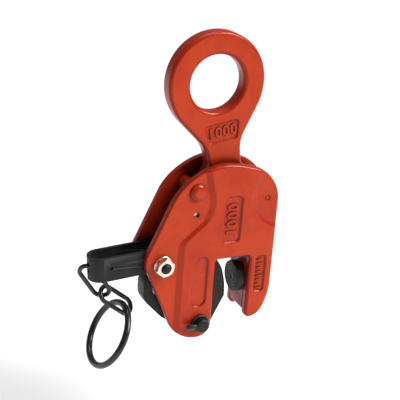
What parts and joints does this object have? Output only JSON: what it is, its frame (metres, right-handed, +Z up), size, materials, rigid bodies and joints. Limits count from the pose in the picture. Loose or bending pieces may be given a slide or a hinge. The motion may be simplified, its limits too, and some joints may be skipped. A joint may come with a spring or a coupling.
{
  "type": "vertical plate lifting clamp",
  "caption": "Vertical plate lifting clamp: twin steel cheeks with a plate throat, toothed cam linked to a lifting eye, swivelling jaw pad, and a lock lever with a short chain and pull ring.",
  "frame": {"origin": "middle of the throat's top face, where the edge of the lifted plate seats", "axes": "+Z up towards the lifting eye, +X from the cam to the fixed jaw, +Y from the cheek with the nuts to the cheek with the heads"},
  "size_m": [0.1793, 0.0646, 0.301],
  "materials": {
    "enamel": "gloss orange-red enamel over cast and forged steel",
    "black": "satin black oxide and black paint on steel",
    "zinc": "yellow-passivated zinc plate",
    "steel": "plain machined steel"
  },
  "bodies": {
    "frame": {"front_cheek": "enamel", "back_cheek": "enamel", "jaw_block": "enamel", "top_spacer_rivet": "enamel", "corner_spacer": "enamel", "spring_anchor_pin": "steel", "cam_pin": "black", "cam_cross_pin": "black", "cam_pin_washer": "black", "lever_bolt": "black", "lever_washer": "zinc", "lever_nut": "zinc", "lever_sleeve": "zinc", "lock_spring": "steel"},
    "pad": {"swivel_pad": "black", "pad_washer": "zinc", "pad_screw": "steel"},
    "cam": {"cam": "black", "cam_spring_pin": "steel"},
    "link": {"link_plate_front": "steel", "link_plate_back": "steel", "cam_link_pin": "steel", "eye_link_pin": "steel"},
    "eye": {"lifting_eye": "enamel"},
    "lever": {"lock_lever": "black"},
    "chain_1": {"chain_link_1": "black"},
    "chain_2": {"chain_link_2": "black"},
    "ring": {"pull_ring": "black"}
  },
  "joints": [
    {"name": "cam_swing", "type": "hinge", "parent": "frame", "child": "cam", "pos_m": [-0.0291, 0, -0.0606], "axis": [0, 1, 0], "range_deg": [-13, 19], "stiffness_Nm_per_rad": 1.2, "springref_deg": 28.65, "deforming": ["lock_spring"]},
    {"name": "link_swing", "type": "hinge", "parent": "cam", "child": "link", "pos_m": [-0.0651, 0, -0.0236], "axis": [0, 1, 0], "range_deg": [-28.5, 19.5]},
    {"name": "eye_tilt", "type": "hinge", "parent": "link", "child": "eye", "pos_m": [-0.0032, 0, 0.0494], "axis": [0, 1, 0], "range_deg": [0, 18]},
    {"name": "lever_swing", "type": "hinge", "parent": "frame", "child": "lever", "pos_m": [-0.0685, 0, 0.0014], "axis": [0, 1, 0], "range_deg": [0, 75]},
    {"name": "pad_spin", "type": "hinge", "parent": "frame", "child": "pad", "pos_m": [0.0168, 0, -0.0276], "axis": [1, 0, 0], "continuous": true},
    {"name": "chain_1_swing", "type": "hinge", "parent": "lever", "child": "chain_1", "pos_m": [-0.1305, 0, -0.0055], "axis": [0, 1, 0], "range_deg": [0, 36]},
    {"name": "chain_2_swing", "type": "hinge", "parent": "chain_1", "child": "chain_2", "pos_m": [-0.115, 0, -0.028], "axis": [0, 1, 0], "range_deg": [0, 35]},
    {"name": "ring_swing", "type": "hinge", "parent": "chain_2", "child": "ring", "pos_m": [-0.0963, -0.002, -0.042], "axis": [0, 1, 0], "range_deg": [-40, 40]}
  ],
  "couplings": [
    {"joint": "link_swing", "follows": "cam_swing", "ratio": -1.49}
  ]
}
